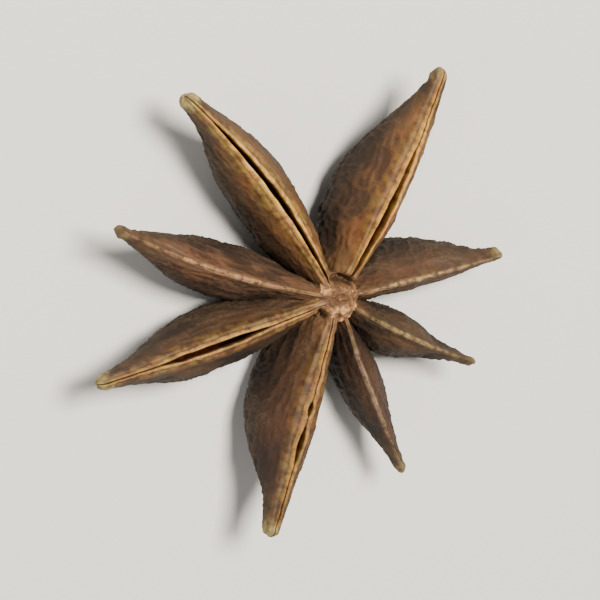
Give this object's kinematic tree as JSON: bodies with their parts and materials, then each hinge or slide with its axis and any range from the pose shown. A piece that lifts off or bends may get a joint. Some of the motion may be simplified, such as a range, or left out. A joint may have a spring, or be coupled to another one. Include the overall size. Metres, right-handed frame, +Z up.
{
  "type": "star anise pod",
  "caption": "Whole dried star anise pod: woody boat-shaped carpels set like a star round a short column, some split open along the seam on top.",
  "frame": {"origin": "on the table that the pod lies on, below the middle of its bounding box", "axes": "+Z up, with the seams of the carpels on top; the column's axis is parallel to Z, 1.9 mm towards +X and 0.3 mm towards +Y from the origin"},
  "size_m": [0.0302, 0.0316, 0.007],
  "materials": {
    "husk": "dull dry husk, brown flanks, tan lips along the seam, grey-brown wrinkled keels"
  },
  "bodies": {
    "root": {"pod": "husk"}
  },
  "joints": []
}
